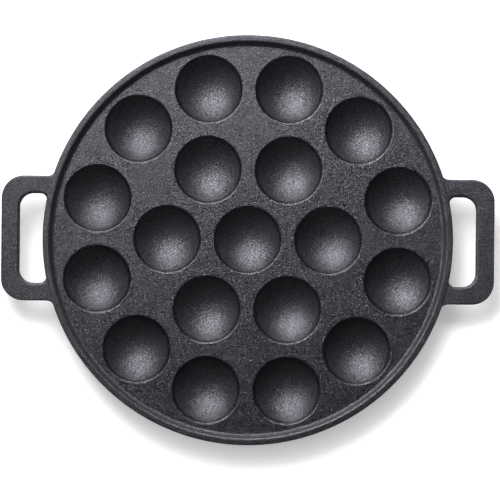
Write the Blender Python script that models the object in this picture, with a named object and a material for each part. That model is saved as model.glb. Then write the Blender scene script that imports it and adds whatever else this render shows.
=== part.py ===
"""Cast-iron pancake pan with nineteen round cups, a raised rim and two loop handles.

The pan is one casting. It is built here as the sections that a pattern maker would
name: every cup with its share of the flat cooking plate, the rim, the side wall that
the pan stands on, and the two handles. The sections meet face to face.
Units are metres, +Z is up, and the base of the side wall lies at z = 0.
"""

import math

import bmesh
import bpy
from mathutils import Vector

# Pan body
PAN_RADIUS = 0.125
RIM_RISE = 0.0037
PLATE_THICKNESS = 0.004
BASE_CLEARANCE = 0.0015

# Cups: one in the middle, six around it, twelve around those
CUP_PITCH = 0.0492
CUP_RADIUS = 0.0203
CUP_DEPTH = 0.0125
CUP_WALL = 0.0036
MOUTH_ROUNDING = 0.0016
DOME_FILLET = 0.0015

# Rim bead, from the plate outwards
RIM_WIDTH = 0.0069
RIM_FOOT_FILLET = 0.0018
RIM_INNER_SLOPE = math.radians(65)
RIM_CREST_ROUNDING = 0.0014
RIM_CROWN_RADIUS = 0.026
RIM_EDGE_ROUNDING = 0.0008

# Side wall
WALL_THICKNESS = 0.005
WALL_OUTER_DRAFT = math.radians(5)
WALL_INNER_DRAFT = math.radians(1.5)
WALL_FILLET = 0.0015
FOOT_ROUNDING = 0.0008

# Handles: loops that stand out at +X and -X, with their feet on the pan's side
HANDLE_REACH = 0.0252
HANDLE_LENGTH = 0.0762
HANDLE_BAR = 0.011
HANDLE_ARM = 0.0108
HANDLE_THICKNESS = 0.0065
HANDLE_DROP = 0.0003
HANDLE_CORNER = 0.0136
SLOT_CORNER = 0.0082
SLOT_ROOT_FILLET = 0.004
ARM_ROOT_FILLET = 0.005
HANDLE_EDGE_ROUNDING = 0.0011
SLOT_EDGE_WIDTH = 0.0016
FILLET_SUNK = 0.0003
FOOT_SUNK = 0.0032

# How finely the round shapes are divided
PAN_FACETS = 96
CUP_FACETS = 24
CUP_BOWL_STEPS = 4
MOUTH_STEPS = 2
DOME_STEPS = 3
DOME_FILLET_STEPS = 1
RIM_FILLET_STEPS = 2
RIM_CREST_STEPS = 3
RIM_CROWN_STEPS = 2
RIM_EDGE_STEPS = 2
WALL_FILLET_STEPS = 1
FOOT_STEPS = 1
HANDLE_CORNER_STEPS = 6
SLOT_CORNER_STEPS = 4
ROOT_FILLET_STEPS = 4
HANDLE_EDGE_STEPS = 2
SHARP_EDGE = math.radians(35)

# Heights above the base, worked out from the sizes above
PLATE_TOP = BASE_CLEARANCE + CUP_WALL + CUP_DEPTH
PLATE_BOTTOM = PLATE_TOP - PLATE_THICKNESS
RIM_TOP = PLATE_TOP + RIM_RISE
HANDLE_TOP = RIM_TOP - HANDLE_DROP
HANDLE_BOTTOM = HANDLE_TOP - HANDLE_THICKNESS
WALL_INNER_RADIUS = PAN_RADIUS - WALL_THICKNESS

# The cups of the outer ring also stand one pitch apart, which gives the ring's radius
OUTER_RING = CUP_PITCH / (2 * math.sin(math.pi / 12))

# The bowl is part of a sphere, whose centre lies above the plate
BOWL_RADIUS = (CUP_RADIUS**2 + CUP_DEPTH**2) / (2 * CUP_DEPTH)
BOWL_CENTRE = PLATE_TOP + BOWL_RADIUS - CUP_DEPTH


def clear_scene():
    for obj in list(bpy.data.objects):
        bpy.data.objects.remove(obj, do_unlink=True)


def cast_iron(name, colour):
    material = bpy.data.materials.new(name)
    material.use_nodes = True
    shader = material.node_tree.nodes["Principled BSDF"]
    shader.inputs["Base Color"].default_value = (*colour, 1)
    shader.inputs["Roughness"].default_value = 0.5
    shader.inputs["Metallic"].default_value = 0.6
    return material


def arc(centre, radius, start, end, steps):
    """Points of an arc in the r, z plane, with both ends."""
    angles = [start + (end - start) * i / steps for i in range(steps + 1)]
    return [
        (centre[0] + radius * math.cos(a), centre[1] + radius * math.sin(a)) for a in angles
    ]


def add_object(name, mesh, material):
    mesh.materials.append(material)
    obj = bpy.data.objects.new(name, mesh)
    bpy.context.scene.collection.objects.link(obj)
    return obj


def mesh_from(bm, name):
    bmesh.ops.recalc_face_normals(bm, faces=bm.faces)
    mesh = bpy.data.meshes.new(name)
    bm.to_mesh(mesh)
    bm.free()
    mesh.shade_smooth()
    mesh.set_sharp_from_angle(angle=SHARP_EDGE)
    return mesh


def revolve(profile, facets, closed, first_angle=0.0):
    """Turns a profile of (r, z) points about the Z axis. A point with r = 0 is a pole."""
    bm = bmesh.new()
    columns = []
    poles = {i: bm.verts.new((0, 0, z)) for i, (r, z) in enumerate(profile) if r == 0}
    for k in range(facets):
        angle = first_angle + 2 * math.pi * k / facets
        x, y = math.cos(angle), math.sin(angle)
        columns.append(
            [poles[i] if i in poles else bm.verts.new((r * x, r * y, z))
             for i, (r, z) in enumerate(profile)]
        )
    spans = len(profile) if closed else len(profile) - 1
    for k in range(facets):
        this, following = columns[k], columns[(k + 1) % facets]
        for i in range(spans):
            j = (i + 1) % len(profile)
            corners = [this[i], this[j], following[j], following[i]]
            bm.faces.new(list(dict.fromkeys(corners)))
    return bm


def cup_centres():
    places = [(0.0, 0.0)]
    places += [(CUP_PITCH, math.radians(60 * k)) for k in range(6)]
    places += [(OUTER_RING, math.radians(15 + 30 * k)) for k in range(12)]
    return [Vector((r * math.cos(a), r * math.sin(a), 0)) for r, a in places]


def bowl_profile():
    """The cup's inside, from its lowest point up to the flat plate."""
    height = BOWL_CENTRE - PLATE_TOP
    mouth = math.sqrt((BOWL_RADIUS + MOUTH_ROUNDING) ** 2 - (height + MOUTH_ROUNDING) ** 2)
    meeting = math.atan2(mouth, height + MOUTH_ROUNDING)
    bowl = arc((0, BOWL_CENTRE), BOWL_RADIUS, -math.pi / 2, meeting - math.pi / 2, CUP_BOWL_STEPS)
    bowl[0] = (0, bowl[0][1])
    rounding = arc(
        (mouth, PLATE_TOP - MOUTH_ROUNDING),
        MOUTH_ROUNDING,
        meeting + math.pi / 2,
        math.pi / 2,
        MOUTH_STEPS,
    )
    return bowl + rounding[1:]


def dome_profile():
    """The cup's outside, from the plate's underside down to its lowest point."""
    radius = BOWL_RADIUS + CUP_WALL
    height = BOWL_CENTRE - PLATE_BOTTOM
    foot = math.sqrt((radius + DOME_FILLET) ** 2 - (height + DOME_FILLET) ** 2)
    meeting = math.atan2(foot, height + DOME_FILLET)
    fillet = arc(
        (foot, PLATE_BOTTOM - DOME_FILLET),
        DOME_FILLET,
        math.pi / 2,
        meeting + math.pi / 2,
        DOME_FILLET_STEPS,
    )
    dome = arc((0, BOWL_CENTRE), radius, meeting - math.pi / 2, -math.pi / 2, DOME_STEPS)
    dome[-1] = (0, dome[-1][1])
    return fillet + dome[1:]


def cut(bm, point, normal):
    """Removes what lies beyond a plane, and closes the cut."""
    result = bmesh.ops.bisect_plane(
        bm,
        geom=bm.verts[:] + bm.edges[:] + bm.faces[:],
        dist=0.0000001,
        plane_co=point,
        plane_no=normal,
        clear_outer=True,
    )
    edges = [item for item in result["geom_cut"] if isinstance(item, bmesh.types.BMEdge)]
    opened = [edge for edge in edges if edge.is_boundary]
    if opened:
        bmesh.ops.holes_fill(bm, edges=opened, sides=0)


def make_cup(name, centre, centres, material):
    """A cup with its share of the plate, bounded halfway to each neighbour and at the wall."""
    past_all_cuts = 2 * CUP_PITCH
    diagonal = math.sqrt(2) * CUP_PITCH
    profile = (
        bowl_profile()
        + [(past_all_cuts, PLATE_TOP), (past_all_cuts, PLATE_BOTTOM)]
        + dome_profile()
    )
    bm = revolve(profile, CUP_FACETS, closed=False, first_angle=math.pi / CUP_FACETS)
    bmesh.ops.recalc_face_normals(bm, faces=bm.faces)
    for other in centres:
        step = other - centre
        if 0 < step.length < (CUP_PITCH + diagonal) / 2:
            cut(bm, step / 2, step.normalized())
    for k in range(PAN_FACETS):
        middle = 2 * math.pi * (k + 0.5) / PAN_FACETS
        outward = Vector((math.cos(middle), math.sin(middle), 0))
        wall = outward * WALL_INNER_RADIUS * math.cos(math.pi / PAN_FACETS)
        if (wall - centre).dot(outward) < past_all_cuts:
            cut(bm, wall - centre, outward)
    obj = add_object(name, mesh_from(bm, name), material)
    obj.location = centre
    return obj


def rim_profile():
    """The bead on the plate's edge: inner foot fillet, slope, crest, crown and outer edge."""
    foot = PAN_RADIUS - RIM_WIDTH
    slope = RIM_INNER_SLOPE
    fillet = arc((foot, PLATE_TOP + RIM_FOOT_FILLET), RIM_FOOT_FILLET,
                 -math.pi / 2, slope - math.pi / 2, RIM_FILLET_STEPS)
    wall_rise = (
        RIM_RISE - (RIM_FOOT_FILLET + RIM_CREST_ROUNDING) * (1 - math.cos(slope))
    )
    crest_r = (
        foot
        + (RIM_FOOT_FILLET + RIM_CREST_ROUNDING) * math.sin(slope)
        + wall_rise / math.tan(slope)
    )
    crest = arc((crest_r, RIM_TOP - RIM_CREST_ROUNDING), RIM_CREST_ROUNDING,
                slope + math.pi / 2, math.pi / 2, RIM_CREST_STEPS)
    crown_end = math.acos((PAN_RADIUS - RIM_EDGE_ROUNDING - crest_r) / RIM_CROWN_RADIUS)
    crown = arc((crest_r, RIM_TOP - RIM_CROWN_RADIUS), RIM_CROWN_RADIUS,
                math.pi / 2, crown_end, RIM_CROWN_STEPS)
    edge_z = crown[-1][1] - RIM_EDGE_ROUNDING
    edge = arc((PAN_RADIUS - RIM_EDGE_ROUNDING, edge_z), RIM_EDGE_ROUNDING,
               math.pi / 2, 0, RIM_EDGE_STEPS)
    return fillet + crest + crown[1:] + edge[1:] + [(PAN_RADIUS, PLATE_TOP)]


def side_wall_profile():
    """The wall under the rim, drafted on both sides, with a flat foot to stand on."""
    outer_foot = PAN_RADIUS - HANDLE_BOTTOM * math.tan(WALL_OUTER_DRAFT)
    inner_foot = WALL_INNER_RADIUS + PLATE_BOTTOM * math.tan(WALL_INNER_DRAFT)
    fillet = arc((WALL_INNER_RADIUS - WALL_FILLET, PLATE_BOTTOM - WALL_FILLET), WALL_FILLET,
                 math.pi / 2, 0, WALL_FILLET_STEPS)
    foot = arc((outer_foot - FOOT_ROUNDING, FOOT_ROUNDING), FOOT_ROUNDING,
               -math.pi / 2, 0, FOOT_STEPS)
    return (
        [(WALL_INNER_RADIUS, PLATE_TOP), (WALL_INNER_RADIUS, PLATE_BOTTOM)]
        + fillet
        + [(inner_foot, 0)]
        + foot
        + [(PAN_RADIUS, HANDLE_BOTTOM), (PAN_RADIUS, PLATE_TOP)]
    )


def make_rim(material):
    bm = revolve(rim_profile(), PAN_FACETS, closed=True)
    return add_object("rim", mesh_from(bm, "rim"), material)


def make_half_wall(name, outward, material):
    """The half of the side wall that lies outward of the YZ plane, to the left or the right."""
    bm = revolve(side_wall_profile(), PAN_FACETS, closed=True)
    bmesh.ops.recalc_face_normals(bm, faces=bm.faces)
    cut(bm, Vector((0, 0, 0)), Vector((-outward, 0, 0)))
    return add_object(name, mesh_from(bm, name), material)


def arm_fillet(inset):
    """From the pan's side out to the arm's straight outer edge."""
    y = HANDLE_LENGTH / 2 + ARM_ROOT_FILLET
    x = math.sqrt((PAN_RADIUS - FILLET_SUNK + ARM_ROOT_FILLET) ** 2 - y**2)
    return arc((x, y), ARM_ROOT_FILLET + inset, math.atan2(y, x) + math.pi, 1.5 * math.pi,
               ROOT_FILLET_STEPS)


def slot_fillet(inset):
    """From the arm's straight slot edge back to the pan's side."""
    y = HANDLE_LENGTH / 2 - HANDLE_ARM - SLOT_ROOT_FILLET
    x = math.sqrt((PAN_RADIUS - FILLET_SUNK + SLOT_ROOT_FILLET) ** 2 - y**2)
    return arc((x, y), SLOT_ROOT_FILLET + inset, math.pi / 2, math.atan2(y, x) + math.pi,
               ROOT_FILLET_STEPS)


def into_pan(point):
    """The point moved straight towards the pan's axis, until it is well inside the rim."""
    scale = (PAN_RADIUS - FOOT_SUNK) / math.hypot(*point)
    return (point[0] * scale, point[1] * scale)


def handle_outline(outer_inset, slot_inset):
    """The loop from above, for the handle at +X, with its edges drawn in by the insets.

    An inset leaves every arc's centre in place and changes only its radius.
    """
    outer_x = PAN_RADIUS + HANDLE_REACH
    slot_corner_x = outer_x - HANDLE_BAR - SLOT_CORNER
    slot_corner_y = HANDLE_LENGTH / 2 - HANDLE_ARM - SLOT_CORNER
    arm = arm_fillet(outer_inset)
    corner = arc((outer_x - HANDLE_CORNER, HANDLE_LENGTH / 2 - HANDLE_CORNER),
                 HANDLE_CORNER - outer_inset, math.pi / 2, 0, HANDLE_CORNER_STEPS)
    slot_corner = arc((slot_corner_x, slot_corner_y), SLOT_CORNER + slot_inset,
                      0, math.pi / 2, SLOT_CORNER_STEPS)
    root = slot_fillet(slot_inset)
    outer = [into_pan(arm[0])] + arm + corner
    inner = slot_corner + root + [into_pan(root[-1])]
    mirrored_outer = [(x, -y) for x, y in reversed(outer)]
    mirrored_inner = [(x, -y) for x, y in reversed(inner)]
    return outer + mirrored_outer + mirrored_inner + inner


def handle_levels():
    """From the underside up: how far both edges are drawn in, and the height."""
    quarter = [math.pi / 2 * k / HANDLE_EDGE_STEPS for k in range(HANDLE_EDGE_STEPS + 1)]
    rounding = [(1 - math.sin(a), HANDLE_EDGE_ROUNDING * (1 - math.cos(a))) for a in quarter]
    under = [(share, HANDLE_BOTTOM + height) for share, height in rounding]
    above = [(share, HANDLE_TOP - height) for share, height in reversed(rounding)]
    return [(HANDLE_EDGE_ROUNDING * share, SLOT_EDGE_WIDTH * share, z)
            for share, z in under + above]


def make_handle(name, turn, cutter, material):
    bm = bmesh.new()
    rings = []
    for outer_inset, slot_inset, z in handle_levels():
        outline = handle_outline(outer_inset, slot_inset)
        rings.append([bm.verts.new((x, y, z)) for x, y in outline])
    for lower, upper in zip(rings, rings[1:]):
        for i in range(len(lower)):
            bm.faces.new([lower[i - 1], lower[i], upper[i], upper[i - 1]])
    bm.faces.new(rings[0])
    bm.faces.new(rings[-1])
    obj = add_object(name, mesh_from(bm, name), material)
    obj.rotation_euler.z = turn

    trim = obj.modifiers.new("trimmed to the pan", "BOOLEAN")
    trim.operation = "DIFFERENCE"
    trim.solver = "EXACT"
    trim.object = cutter
    return obj


def make_pan_cutter():
    """The pan's outside as a plain drum, which trims the handles' feet."""
    profile = [(0, -RIM_TOP), (PAN_RADIUS, -RIM_TOP), (PAN_RADIUS, 2 * RIM_TOP), (0, 2 * RIM_TOP)]
    bm = revolve(profile, PAN_FACETS, closed=False)
    cutter = bpy.data.objects.new("pan_cutter", mesh_from(bm, "pan_cutter"))
    bpy.context.scene.collection.objects.link(cutter)
    cutter.hide_render = True
    cutter.display_type = "WIRE"
    return cutter


def build():
    clear_scene()
    centres = cup_centres()
    cup_iron = cast_iron("cup iron", (0.030, 0.029, 0.032))
    for number, centre in enumerate(centres, start=1):
        make_cup(f"cup_{number:02d}", centre, centres, cup_iron)
    make_rim(cast_iron("rim iron", (0.026, 0.025, 0.028)))
    make_half_wall("side_wall_right", 1, cast_iron("right wall iron", (0.024, 0.023, 0.026)))
    make_half_wall("side_wall_left", -1, cast_iron("left wall iron", (0.024, 0.023, 0.026)))
    cutter = make_pan_cutter()
    make_handle("handle_right", 0, cutter, cast_iron("right handle iron", (0.027, 0.026, 0.029)))
    make_handle("handle_left", math.pi, cutter, cast_iron("left handle iron", (0.027, 0.026, 0.029)))


build()
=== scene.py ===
"""Looks of the cast-iron pancake pan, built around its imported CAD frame.

Every CAD section is replaced by a finely divided piece of the same shape, because the
frame's own mesh shows facets round the mouths. Metres, +Z up, the base stands at z = 0.
"""

import math

import bmesh
import bpy
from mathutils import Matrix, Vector


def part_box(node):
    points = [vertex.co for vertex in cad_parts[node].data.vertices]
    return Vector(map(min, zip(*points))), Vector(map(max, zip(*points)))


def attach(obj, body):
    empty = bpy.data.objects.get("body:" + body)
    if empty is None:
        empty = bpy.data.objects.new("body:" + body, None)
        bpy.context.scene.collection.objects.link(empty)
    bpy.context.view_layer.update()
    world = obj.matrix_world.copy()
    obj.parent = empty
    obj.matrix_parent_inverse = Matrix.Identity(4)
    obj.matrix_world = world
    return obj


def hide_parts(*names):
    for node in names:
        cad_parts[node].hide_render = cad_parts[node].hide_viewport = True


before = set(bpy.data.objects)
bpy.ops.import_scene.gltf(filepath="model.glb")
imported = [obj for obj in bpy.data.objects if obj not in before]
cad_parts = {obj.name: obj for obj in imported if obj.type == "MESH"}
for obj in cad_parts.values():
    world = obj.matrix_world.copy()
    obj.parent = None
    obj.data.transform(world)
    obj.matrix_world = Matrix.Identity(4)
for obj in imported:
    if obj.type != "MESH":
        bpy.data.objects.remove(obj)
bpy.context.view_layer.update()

# Sizes read from the frame
rim_low, rim_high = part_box("rim")
cup_low, cup_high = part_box("cup_01")
handle_low, handle_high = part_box("handle_right")
PAN_RADIUS = rim_high.x
RIM_TOP = rim_high.z
PLATE_TOP = rim_low.z
CUP_PITCH = cup_high.x - cup_low.x
BASE_CLEARANCE = cup_low.z
HANDLE_OUTER = handle_high.x
HANDLE_TOP = handle_high.z
HANDLE_BOTTOM = handle_low.z

# Sizes of the casting that its boxes don't give, the same as in the CAD source
PLATE_THICKNESS = 0.004
CUP_RADIUS = 0.0203
CUP_WALL = 0.0036
MOUTH_ROUNDING = 0.0016
DOME_FILLET = 0.0015
RIM_WIDTH = 0.0069
RIM_FOOT_FILLET = 0.0018
RIM_INNER_SLOPE = math.radians(65)
RIM_CREST_ROUNDING = 0.0014
RIM_CROWN_RADIUS = 0.026
RIM_EDGE_ROUNDING = 0.0008
WALL_THICKNESS = 0.005
WALL_OUTER_DRAFT = math.radians(5)
WALL_INNER_DRAFT = math.radians(1.5)
WALL_FILLET = 0.0015
FOOT_ROUNDING = 0.0008
HANDLE_LENGTH = 0.0762
HANDLE_BAR = 0.011
HANDLE_ARM = 0.0108
HANDLE_CORNER = 0.0136
SLOT_CORNER = 0.0082
SLOT_ROOT_FILLET = 0.004
ARM_ROOT_FILLET = 0.005
HANDLE_EDGE_ROUNDING = 0.0011
SLOT_EDGE_WIDTH = 0.0016

# How far the handles' fillets and ends reach into the pan, so that no gap shows
FILLET_SUNK = 0.0003
END_SUNK = 0.0032

# Worked out from the sizes above
CUP_DEPTH = PLATE_TOP - BASE_CLEARANCE - CUP_WALL
PLATE_BOTTOM = PLATE_TOP - PLATE_THICKNESS
WALL_INNER_RADIUS = PAN_RADIUS - WALL_THICKNESS
OUTER_RING = CUP_PITCH / (2 * math.sin(math.pi / 12))
BOWL_RADIUS = (CUP_RADIUS**2 + CUP_DEPTH**2) / (2 * CUP_DEPTH)
BOWL_CENTRE = PLATE_TOP + BOWL_RADIUS - CUP_DEPTH

# How finely the pieces are divided
PAN_SEGMENTS = 288
CUP_SEGMENTS = 96
BOWL_STEPS = 20
MOUTH_STEPS = 7
DOME_STEPS = 14
DOME_FILLET_STEPS = 4
RIM_FILLET_STEPS = 8
CREST_STEPS = 12
CROWN_STEPS = 6
RIM_EDGE_STEPS = 6
WALL_ARC_STEPS = 5
HANDLE_FILLET_STEPS = 12
HANDLE_CORNER_STEPS = 20
SLOT_CORNER_STEPS = 16
HANDLE_EDGE_STEPS = 8
SHARP_EDGE = math.radians(40)

# Rings on the flat faces. The ones next to a rounding keep its shading off the flat
MOUTH_MARGIN = 0.0002
LAND_SHARES = (0.4, 0.7, 1.0)
UNDER_SHARES = (0.0, 0.4, 0.8)
FLAT_SHARE = 1.15

# How the borders between the cups' shares of the plate are found
NEIGHBOUR_PITCHES = 1.3
LEAST_COSINE = 0.1
HALVINGS = 50
CORNER_ROOM = 0.3

# Cast iron: tones, from dark to light patches, the finish, and the painted shade on the cups' lips
IRON_TONES = (0.0722, 0.0710, 0.0814), (0.0803, 0.0791, 0.0907)
CUP_TONES = (0.073, 0.0716, 0.0821), (0.081, 0.0794, 0.0913)
IOR = 1.5
FLAT_METAL = 0.95
CUP_METAL = 0.70
FLAT_ROUGH = 0.30
CUP_ROUGH = 0.33
RAISED_ROUGH = 0.08
SLOPE_ROUGH = 0.3
RAISED_TONE = 0.87
# Painted shade: how dark the cups' lips are painted, to dim the highlight on their rounding
LIP_PAINTED_SHADE = 0.66
SPECK = 0.5
ROUGH_SPREAD = 0.04

# Share of the cups' finish that all above the plate takes on
RAISED_SHARE = 0.25

# Bands of height in which one finish passes into the next, and in which the painted shade on the
# lips fades out
CUP_BAND = (PLATE_TOP - 0.003, PLATE_TOP - 0.0008)
LIP_SHADE_BAND = (PLATE_TOP - 0.00006, PLATE_TOP - 0.00002)
SLOPE_FOOT_BAND = (PLATE_TOP + 0.00002, PLATE_TOP + 0.0002)
RAISED_BAND = (PLATE_TOP + 0.0002, PLATE_TOP + 0.0012)
SLOPE_HEAD_BAND = (RIM_TOP - 0.0010, RIM_TOP - 0.0004)

# Noises: scale per metre, detail and roughness
SPECK_NOISE = (1700, 0, 0.5)
PATCH_NOISE = (90, 3, 0.6)
ROUGH_NOISE = (500, 2, 0.6)
GRAIN_NOISE = (2400, 0, 0.5)
SWELL_NOISE = (60, 2, 0.5)
SPECK_RANGE = (0.38, 0.62)
NOISE_RANGE = (0.3, 0.7)

# Bump heights, and how much of the grain the flat plate has
GRAIN_HEIGHT = 0.00025
SWELL_HEIGHT = 0.0002
FLAT_GRAIN = 0.84

# The turn that sets the noises' own grid askew to the plate
GRAIN_AXIS = (1, 2, 3)
GRAIN_TURN = math.radians(40)

# Floor: its colour, and the white that only the camera and mirrored rays see
FLOOR_HALF = 4.0
FLOOR_SQUARES = 8
FLOOR_COLOUR = (0.92, 0.92, 0.92, 1)
FLOOR_ROUGH = 0.9
WHITE = (1, 1, 1, 1)
# NEAR_GLOW is the glow in the painted shadow round the pan, FAR_GLOW the white away from it
NEAR_GLOW = 0.34
FAR_GLOW = 1.0

# Where the glow grows: how much X counts, and the distances where it starts and ends. The glow is
# kept low round the pan and its handles, which paints the outer shape of their shadow on the floor
PAN_GLOW = (1, 0.12, 0.16)
HANDLE_GLOW = (0.32, 0.06, 0.078)

# Lamps: tilt, turn, distance, size, spread, aim and watts
LAMPS = {
    "wide_key": (47, 9, 0.9, 0.65, 95, (0.38, -0.36), 3.5),
    "near_key": (41, 20, 0.6, 0.46, 95, (0.18, -0.16), 1.22),
    "low_key": (80, 10, 0.55, 0.18, 180, (0, 0), 1.0),
    "fill_card": (65, 190, 0.9, 0.5, 180, (0, 0), 0.12),
    "left_card": (48, 92, 0.5, 0.3, 180, (0, 0), 0.17),
}

# World: white at the horizon, dim from this band of height upwards
HORIZON_BAND = (0.08, 0.16)
HORIZON = 1.0
OVERHEAD = 0.06

# Camera, straight above the pan
SENSOR = 36
LENS = 142.0
CLIP_START = 0.01
CLIP_END = 50
CAMERA_X = 0.0014
CAMERA_Y = -0.0060
CAMERA_HEIGHT = 1.2
CAMERA_TURN = math.radians(0.57)


def arc(centre, radius, start, end, steps):
    """Points of an arc in a plane, with both ends."""
    angles = [start + (end - start) * i / steps for i in range(steps + 1)]
    return [
        (centre[0] + radius * math.cos(a), centre[1] + radius * math.sin(a)) for a in angles
    ]


def finish_piece(bm, name, cad_nodes, material):
    """Makes the mesh a piece that stands for its CAD nodes."""
    bmesh.ops.recalc_face_normals(bm, faces=bm.faces)
    mesh = bpy.data.meshes.new(name + "_casting")
    bm.to_mesh(mesh)
    bm.free()
    mesh.shade_smooth()
    mesh.set_sharp_from_angle(angle=SHARP_EDGE)
    mesh.materials.append(material)
    piece = bpy.data.objects.new(name + "_casting", mesh)
    bpy.context.scene.collection.objects.link(piece)
    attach(piece, "root")
    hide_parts(*cad_nodes)


def skin_columns(bm, columns, closed, around=True):
    """Joins neighbouring columns of vertices with faces.

    closed joins each column's last vertex to its first, around the last column to the first.
    """
    for this, following in zip(columns, columns[1:] + columns[:1] if around else columns[1:]):
        spans = len(this) if closed else len(this) - 1
        for i in range(spans):
            j = (i + 1) % len(this)
            corners = [this[i], this[j], following[j], following[i]]
            bm.faces.new(list(dict.fromkeys(corners)))


def revolved_ring(profile):
    """A closed profile of radius and height, turned round the pan's axis."""
    bm = bmesh.new()
    columns = []
    for k in range(PAN_SEGMENTS):
        angle = 2 * math.pi * k / PAN_SEGMENTS
        x, y = math.cos(angle), math.sin(angle)
        columns.append([bm.verts.new((r * x, r * y, z)) for r, z in profile])
    skin_columns(bm, columns, closed=True)
    return bm


# Cups


def cup_centres():
    """The middle cup, the ring of six and the ring of twelve."""
    places = [(0.0, 0.0)]
    places += [(CUP_PITCH, math.radians(60 * k)) for k in range(6)]
    places += [(OUTER_RING, math.radians(15 + 30 * k)) for k in range(12)]
    return [Vector((r * math.cos(a), r * math.sin(a))) for r, a in places]


def bowl_profile():
    """The cup's inside, from its lowest point up to the flat plate."""
    height = BOWL_CENTRE - PLATE_TOP
    mouth = math.sqrt((BOWL_RADIUS + MOUTH_ROUNDING) ** 2 - (height + MOUTH_ROUNDING) ** 2)
    meeting = math.atan2(mouth, height + MOUTH_ROUNDING)
    bowl = arc((0, BOWL_CENTRE), BOWL_RADIUS, -math.pi / 2, meeting - math.pi / 2, BOWL_STEPS)
    rounding = arc((mouth, PLATE_TOP - MOUTH_ROUNDING), MOUTH_ROUNDING,
                   meeting + math.pi / 2, math.pi / 2, MOUTH_STEPS)
    return bowl[1:] + rounding[1:]


def dome_profile():
    """The cup's outside, from the plate's underside down to its lowest point."""
    radius = BOWL_RADIUS + CUP_WALL
    height = BOWL_CENTRE - PLATE_BOTTOM
    foot = math.sqrt((radius + DOME_FILLET) ** 2 - (height + DOME_FILLET) ** 2)
    meeting = math.atan2(foot, height + DOME_FILLET)
    fillet = arc((foot, PLATE_BOTTOM - DOME_FILLET), DOME_FILLET,
                 math.pi / 2, meeting + math.pi / 2, DOME_FILLET_STEPS)
    dome = arc((0, BOWL_CENTRE), radius, meeting - math.pi / 2, -math.pi / 2, DOME_STEPS)
    return fillet + dome[1:-1]


def cell_border(centre, centres):
    """The distance from a cup's centre to the edge of its share of the plate, by direction."""
    neighbours = []
    for other in centres:
        step = other - centre
        if 0 < step.length < NEIGHBOUR_PITCHES * CUP_PITCH:
            neighbours.append((step.length / 2, math.atan2(step.y, step.x)))

    def edge(angle):
        """The distance, and the number of the neighbour there, or -1 at the side wall."""
        direction = Vector((math.cos(angle), math.sin(angle)))
        along = centre.dot(direction)
        wall = math.sqrt(along**2 - centre.length_squared + WALL_INNER_RADIUS**2) - along
        reaches = [(wall, -1)]
        for number, (distance, facing) in enumerate(neighbours):
            cosine = math.cos(angle - facing)
            if cosine > LEAST_COSINE:
                reaches.append((distance / cosine, number))
        return min(reaches)

    return edge


def cell_directions(edge):
    """Even directions round a cup, with the corners of its cell put in."""
    spacing = 2 * math.pi / CUP_SEGMENTS
    even = [spacing * k for k in range(CUP_SEGMENTS)]
    corners = []
    for start in even:
        low, high = start, start + spacing
        if edge(low)[1] == edge(high)[1]:
            continue
        for _ in range(HALVINGS):
            middle = (low + high) / 2
            if edge(middle)[1] == edge(start)[1]:
                low = middle
            else:
                high = middle
        corners.append(low)

    def apart(one, other):
        return abs((one - other + math.pi) % (2 * math.pi) - math.pi)

    kept = [a for a in even if all(apart(a, c) > CORNER_ROOM * spacing for c in corners)]
    return sorted(kept + corners)


def build_cup(node, centre, centres, material):
    """A cup with its share of the plate, as columns from its floor out and back underneath."""
    bowl, dome = bowl_profile(), dome_profile()
    mouth, foot = bowl[-1][0], dome[0][0]
    edge = cell_border(centre, centres)
    bm = bmesh.new()
    floor_pole = bm.verts.new((centre.x, centre.y, PLATE_TOP - CUP_DEPTH))
    under_pole = bm.verts.new((centre.x, centre.y, BASE_CLEARANCE))
    columns = []
    for angle in cell_directions(edge):
        reach = edge(angle)[0]
        land = [mouth + MOUTH_MARGIN] + [mouth + (reach - mouth) * s for s in LAND_SHARES]
        below = [reach + (foot - reach) * s for s in UNDER_SHARES]
        points = bowl + [(r, PLATE_TOP) for r in land]
        points += [(r, PLATE_BOTTOM) for r in below] + dome
        x, y = math.cos(angle), math.sin(angle)
        ring = [bm.verts.new((centre.x + r * x, centre.y + r * y, z)) for r, z in points]
        columns.append([floor_pole] + ring + [under_pole])
    skin_columns(bm, columns, closed=False)
    finish_piece(bm, node, [node], material)


# Rim and side wall


def rim_profile():
    """The bead on the plate's edge: inner foot fillet, slope, crest, crown and outer edge."""
    foot = PAN_RADIUS - RIM_WIDTH
    slope = RIM_INNER_SLOPE
    rise = RIM_TOP - PLATE_TOP
    fillet = arc((foot, PLATE_TOP + RIM_FOOT_FILLET), RIM_FOOT_FILLET,
                 -math.pi / 2, slope - math.pi / 2, RIM_FILLET_STEPS)
    wall_rise = rise - (RIM_FOOT_FILLET + RIM_CREST_ROUNDING) * (1 - math.cos(slope))
    crest_r = (
        foot
        + (RIM_FOOT_FILLET + RIM_CREST_ROUNDING) * math.sin(slope)
        + wall_rise / math.tan(slope)
    )
    crest = arc((crest_r, RIM_TOP - RIM_CREST_ROUNDING), RIM_CREST_ROUNDING,
                slope + math.pi / 2, math.pi / 2, CREST_STEPS)
    crown_end = math.acos((PAN_RADIUS - RIM_EDGE_ROUNDING - crest_r) / RIM_CROWN_RADIUS)
    crown = arc((crest_r, RIM_TOP - RIM_CROWN_RADIUS), RIM_CROWN_RADIUS,
                math.pi / 2, crown_end, CROWN_STEPS)
    edge = arc((PAN_RADIUS - RIM_EDGE_ROUNDING, crown[-1][1] - RIM_EDGE_ROUNDING),
               RIM_EDGE_ROUNDING, math.pi / 2, 0, RIM_EDGE_STEPS)
    return fillet + crest + crown[1:] + edge[1:] + [(PAN_RADIUS, PLATE_TOP)]


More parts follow.
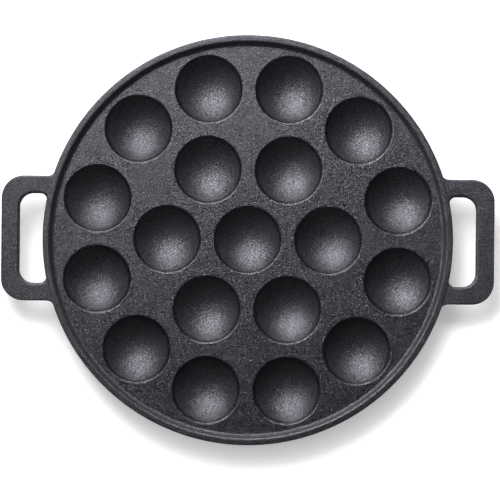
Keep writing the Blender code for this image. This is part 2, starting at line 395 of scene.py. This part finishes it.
def side_wall_profile():
    """The wall under the rim, drafted on both sides, with a flat foot to stand on."""
    outer_foot = PAN_RADIUS - HANDLE_BOTTOM * math.tan(WALL_OUTER_DRAFT)
    inner_foot = WALL_INNER_RADIUS + PLATE_BOTTOM * math.tan(WALL_INNER_DRAFT)
    fillet = arc((WALL_INNER_RADIUS - WALL_FILLET, PLATE_BOTTOM - WALL_FILLET), WALL_FILLET,
                 math.pi / 2, 0, WALL_ARC_STEPS)
    foot = arc((outer_foot - FOOT_ROUNDING, FOOT_ROUNDING), FOOT_ROUNDING,
               -math.pi / 2, 0, WALL_ARC_STEPS)
    return (
        [(WALL_INNER_RADIUS, PLATE_TOP), (WALL_INNER_RADIUS, PLATE_BOTTOM)]
        + fillet
        + [(inner_foot, 0)]
        + foot
        + [(PAN_RADIUS, HANDLE_BOTTOM), (PAN_RADIUS, PLATE_TOP)]
    )


# Handles


def handle_outline(outer_inset, slot_inset):
    """The loop from above, for the handle at +X, with its edges drawn in by the insets.

    An inset leaves every arc's centre in place and changes only its radius.
    """
    half = HANDLE_LENGTH / 2
    half_slot = half - HANDLE_ARM
    slot_x = HANDLE_OUTER - HANDLE_BAR
    arm_y = half + ARM_ROOT_FILLET
    arm_x = math.sqrt((PAN_RADIUS - FILLET_SUNK + ARM_ROOT_FILLET) ** 2 - arm_y**2)
    arm = arc((arm_x, arm_y), ARM_ROOT_FILLET + outer_inset,
              math.atan2(arm_y, arm_x) + math.pi, 1.5 * math.pi, HANDLE_FILLET_STEPS)
    corner = arc((HANDLE_OUTER - HANDLE_CORNER, half - HANDLE_CORNER),
                 HANDLE_CORNER - outer_inset, math.pi / 2, 0, HANDLE_CORNER_STEPS)
    slot_corner = arc((slot_x - SLOT_CORNER, half_slot - SLOT_CORNER),
                      SLOT_CORNER + slot_inset, 0, math.pi / 2, SLOT_CORNER_STEPS)
    root_y = half_slot - SLOT_ROOT_FILLET
    root_x = math.sqrt((PAN_RADIUS - FILLET_SUNK + SLOT_ROOT_FILLET) ** 2 - root_y**2)
    root = arc((root_x, root_y), SLOT_ROOT_FILLET + slot_inset, math.pi / 2,
               math.atan2(root_y, root_x) + math.pi, HANDLE_FILLET_STEPS)

    def into_pan(point):
        """The point moved into the rim, to a depth of its own for each inset."""
        scale = (PAN_RADIUS - END_SUNK + outer_inset / 2) / math.hypot(*point)
        return (point[0] * scale, point[1] * scale)

    outer = [into_pan(arm[0])] + arm + corner
    inner = slot_corner + root + [into_pan(root[-1])]
    mirrored_outer = [(x, -y) for x, y in reversed(outer)]
    mirrored_inner = [(x, -y) for x, y in reversed(inner)]
    return outer + mirrored_outer + mirrored_inner + inner


def handle_levels():
    """From the underside up: how far both edges are drawn in, and the height."""
    angles = [math.pi / 2 * k / HANDLE_EDGE_STEPS for k in range(HANDLE_EDGE_STEPS + 1)]
    rounding = [(1 - math.sin(a), HANDLE_EDGE_ROUNDING * (1 - math.cos(a))) for a in angles]
    under = [(share, HANDLE_BOTTOM + height) for share, height in rounding]
    above = [(share, HANDLE_TOP - height) for share, height in reversed(rounding)]
    levels = [(FLAT_SHARE, HANDLE_BOTTOM)] + under + above + [(FLAT_SHARE, HANDLE_TOP)]
    return [(HANDLE_EDGE_ROUNDING * share, SLOT_EDGE_WIDTH * share, z) for share, z in levels]


def build_handle(node, side, material):
    """side is 1 for the handle at +X and -1 for the one at -X."""
    bm = bmesh.new()
    rings = []
    for outer_inset, slot_inset, z in handle_levels():
        outline = handle_outline(outer_inset, slot_inset)
        rings.append([bm.verts.new((side * x, side * y, z)) for x, y in outline])
    skin_columns(bm, rings, closed=True, around=False)
    bm.faces.new(rings[0])
    bm.faces.new(rings[-1])
    finish_piece(bm, node, [node], material)


# Nodes that several materials need


def mapped(tree, value, source, target, smooth=False):
    """Maps a value from the range source to the range target, and holds it at both ends."""
    node = tree.nodes.new("ShaderNodeMapRange")
    if smooth:
        node.interpolation_type = "SMOOTHSTEP"
    node.inputs["From Min"].default_value, node.inputs["From Max"].default_value = source
    node.inputs["To Min"].default_value, node.inputs["To Max"].default_value = target
    tree.links.new(value, node.inputs["Value"])
    return node.outputs["Result"]


def combined(tree, operation, first, *others):
    """The values worked together with one Math operation."""
    for other in others:
        node = tree.nodes.new("ShaderNodeMath")
        node.operation = operation
        tree.links.new(first, node.inputs[0])
        tree.links.new(other, node.inputs[1])
        first = node.outputs[0]
    return first


def new_material(name):
    material = bpy.data.materials.new(name)
    material.use_nodes = True
    return material, material.node_tree, material.node_tree.nodes["Principled BSDF"]


# Cast iron


def cast_iron():
    """Seasoned sand casting, whose finish changes with the height above the base.

    Inside the cups, and on all that lies as low, it is rougher and less metallic than on
    the plate. All that stands above the plate lies between the two and is a little darker.
    The cups' lips carry painted shade that dims the highlight on their rounding, and the heights
    of the rim's slope are the roughest.
    """
    material, tree, shader = new_material("sand_cast_iron")
    nodes, links = tree.nodes, tree.links
    shader.inputs["IOR"].default_value = IOR
    place = nodes.new("ShaderNodeTexCoord").outputs["Object"]
    turned = nodes.new("ShaderNodeVectorRotate")
    turned.inputs["Axis"].default_value = GRAIN_AXIS
    turned.inputs["Angle"].default_value = GRAIN_TURN
    links.new(place, turned.inputs["Vector"])

    def noise(scale, detail, roughness):
        node = nodes.new("ShaderNodeTexNoise")
        node.inputs["Scale"].default_value = scale
        node.inputs["Detail"].default_value = detail
        node.inputs["Roughness"].default_value = roughness
        links.new(turned.outputs["Vector"], node.inputs["Vector"])
        return node.outputs["Fac"]

    def mixed(factor, pair):
        """Mixes two colours, each given as numbers or as a socket."""
        node = nodes.new("ShaderNodeMix")
        node.data_type = "RGBA"
        links.new(factor, node.inputs["Factor"])
        for socket, value in zip("AB", pair):
            if isinstance(value, tuple):
                node.inputs[socket].default_value = (*value, 1)
            else:
                links.new(value, node.inputs[socket])
        return node.outputs["Result"]

    def bump(height, distance):
        node = nodes.new("ShaderNodeBump")
        node.inputs["Strength"].default_value = 1.0
        node.inputs["Distance"].default_value = distance
        links.new(height, node.inputs["Height"])
        return node

    split = nodes.new("ShaderNodeSeparateXYZ")
    links.new(place, split.inputs[0])
    height = split.outputs["Z"]
    in_cup = mapped(tree, height, CUP_BAND, (1, 0))
    raised = mapped(tree, height, RAISED_BAND, (0, RAISED_SHARE))
    rougher = combined(tree, "MAXIMUM", in_cup, raised)
    off_slope = combined(tree, "MAXIMUM",
                         mapped(tree, height, SLOPE_FOOT_BAND, (1, 0)),
                         mapped(tree, height, SLOPE_HEAD_BAND, (0, 1)))

    metal = mapped(tree, rougher, (0, 1), (FLAT_METAL, CUP_METAL))
    links.new(metal, shader.inputs["Metallic"])

    patches = mapped(tree, noise(*PATCH_NOISE), NOISE_RANGE, (0, 1))
    tone = mixed(rougher, (mixed(patches, IRON_TONES), mixed(patches, CUP_TONES)))
    # Painted shade on the cups' lips, from just under the plate down into the cups, dimming their
    # highlight
    lip_painted_shade = combined(tree, "MAXIMUM",
                   mapped(tree, height, LIP_SHADE_BAND, (LIP_PAINTED_SHADE, 1)),
                   mapped(tree, in_cup, (0, 1), (LIP_PAINTED_SHADE, 1)))
    shade = combined(tree, "MULTIPLY",
                     mapped(tree, noise(*SPECK_NOISE), SPECK_RANGE, (1 - SPECK, 1 + SPECK)),
                     mapped(tree, raised, (0, RAISED_SHARE), (1, RAISED_TONE)),
                     lip_painted_shade)
    tinted = nodes.new("ShaderNodeVectorMath")
    tinted.operation = "SCALE"
    links.new(tone, tinted.inputs[0])
    links.new(shade, tinted.inputs["Scale"])
    links.new(tinted.outputs["Vector"], shader.inputs["Base Color"])

    satin = combined(tree, "ADD",
                     mapped(tree, rougher, (0, 1), (FLAT_ROUGH, CUP_ROUGH)),
                     mapped(tree, noise(*ROUGH_NOISE), NOISE_RANGE, (-ROUGH_SPREAD, ROUGH_SPREAD)),
                     mapped(tree, raised, (0, RAISED_SHARE), (0, RAISED_ROUGH)),
                     mapped(tree, off_slope, (0, 1), (SLOPE_ROUGH, 0)))
    links.new(satin, shader.inputs["Roughness"])

    swells = bump(noise(*SWELL_NOISE), SWELL_HEIGHT)
    grain = bump(noise(*GRAIN_NOISE), GRAIN_HEIGHT)
    links.new(swells.outputs["Normal"], grain.inputs["Normal"])
    links.new(mapped(tree, rougher, (0, 1), (FLAT_GRAIN, 1)), grain.inputs["Strength"])
    links.new(grain.outputs["Normal"], shader.inputs["Normal"])
    return material


# Stage: floor, lamps, world and camera


def pale_floor():
    """Takes the pan's shadow, and is white outside it to the camera and in reflections; its glow,
    kept low round the pan and handles, paints the shadow's outer shape.
    """
    material, tree, shader = new_material("pale floor")
    nodes, links = tree.nodes, tree.links
    shader.inputs["Base Color"].default_value = FLOOR_COLOUR
    shader.inputs["Roughness"].default_value = FLOOR_ROUGH
    shader.inputs["Specular IOR Level"].default_value = 0.0
    path = nodes.new("ShaderNodeLightPath").outputs
    seen = combined(tree, "MAXIMUM", path["Is Camera Ray"], path["Is Glossy Ray"],
                    path["Is Transmission Ray"])
    place = nodes.new("ShaderNodeTexCoord").outputs["Object"]

    def glow_outside(across, start, end):
        squeezed = nodes.new("ShaderNodeVectorMath")
        squeezed.operation = "MULTIPLY"
        squeezed.inputs[1].default_value = (across, 1, 1)
        links.new(place, squeezed.inputs[0])
        reach = nodes.new("ShaderNodeVectorMath")
        reach.operation = "LENGTH"
        links.new(squeezed.outputs[0], reach.inputs[0])
        return mapped(tree, reach.outputs["Value"], (start, end), (NEAR_GLOW, FAR_GLOW), True)

    # Painted shadow: the glow is low near the pan and its handles and grows to white away from
    # them
    painted_shadow_glow = combined(tree, "MINIMUM", glow_outside(*PAN_GLOW), glow_outside(*HANDLE_GLOW))
    glow = nodes.new("ShaderNodeEmission")
    glow.inputs["Color"].default_value = WHITE
    links.new(combined(tree, "MULTIPLY", seen, painted_shadow_glow), glow.inputs["Strength"])
    both = nodes.new("ShaderNodeAddShader")
    links.new(shader.outputs[0], both.inputs[0])
    links.new(glow.outputs[0], both.inputs[1])
    links.new(both.outputs[0], nodes["Material Output"].inputs["Surface"])
    return material


def build_floor():
    bm = bmesh.new()
    bmesh.ops.create_grid(bm, x_segments=FLOOR_SQUARES, y_segments=FLOOR_SQUARES, size=FLOOR_HALF)
    mesh = bpy.data.meshes.new("floor")
    bm.to_mesh(mesh)
    bm.free()
    mesh.materials.append(pale_floor())
    floor = bpy.data.objects.new("floor", mesh)
    bpy.context.scene.collection.objects.link(floor)


def add_lamp(name, tilt, turn, distance, size, spread, aim, watts):
    """A square softbox. tilt is from the vertical, turn from +Y towards -X, in degrees.

    It faces aim, a point on the floor. A point past the pan makes its light grow that way.
    """
    tilt, turn = math.radians(tilt), math.radians(turn)
    place = distance * Vector((-math.sin(tilt) * math.sin(turn),
                               math.sin(tilt) * math.cos(turn), math.cos(tilt)))
    lamp = bpy.data.lights.new(name, "AREA")
    lamp.shape = "SQUARE"
    lamp.size = size
    lamp.spread = math.radians(spread)
    lamp.energy = watts
    obj = bpy.data.objects.new(name, lamp)
    obj.location = place
    obj.rotation_euler = (Vector((*aim, 0)) - place).to_track_quat("-Z", "Y").to_euler()
    obj.visible_camera = False
    bpy.context.scene.collection.objects.link(obj)


def build_world():
    """Dim overhead, with a white band at the horizon."""
    world = bpy.data.worlds.new("studio")
    world.use_nodes = True
    bpy.context.scene.world = world
    tree = world.node_tree
    background = tree.nodes["Background"]
    background.inputs["Color"].default_value = WHITE
    split = tree.nodes.new("ShaderNodeSeparateXYZ")
    direction = tree.nodes.new("ShaderNodeTexCoord").outputs["Generated"]
    tree.links.new(direction, split.inputs[0])
    strength = mapped(tree, split.outputs["Z"], HORIZON_BAND, (HORIZON, OVERHEAD), True)
    tree.links.new(strength, background.inputs["Strength"])


def build_camera():
    camera = bpy.data.cameras.new("camera")
    camera.sensor_width = SENSOR
    camera.lens = LENS
    camera.clip_start = CLIP_START
    camera.clip_end = CLIP_END
    obj = bpy.data.objects.new("camera", camera)
    obj.location = (CAMERA_X, CAMERA_Y, RIM_TOP + CAMERA_HEIGHT)
    obj.rotation_euler = (0, 0, CAMERA_TURN)
    bpy.context.scene.collection.objects.link(obj)
    bpy.context.scene.camera = obj


iron = cast_iron()
centres = cup_centres()
for number, centre in enumerate(centres, start=1):
    build_cup(f"cup_{number:02d}", centre, centres, iron)
finish_piece(revolved_ring(rim_profile()), "rim", ["rim"], iron)
finish_piece(revolved_ring(side_wall_profile()), "side_wall",
             ["side_wall_left", "side_wall_right"], iron)
build_handle("handle_right", 1, iron)
build_handle("handle_left", -1, iron)

build_floor()
for name, settings in LAMPS.items():
    add_lamp(name, *settings)
build_world()
build_camera()
bpy.context.scene.view_settings.view_transform = "Standard"
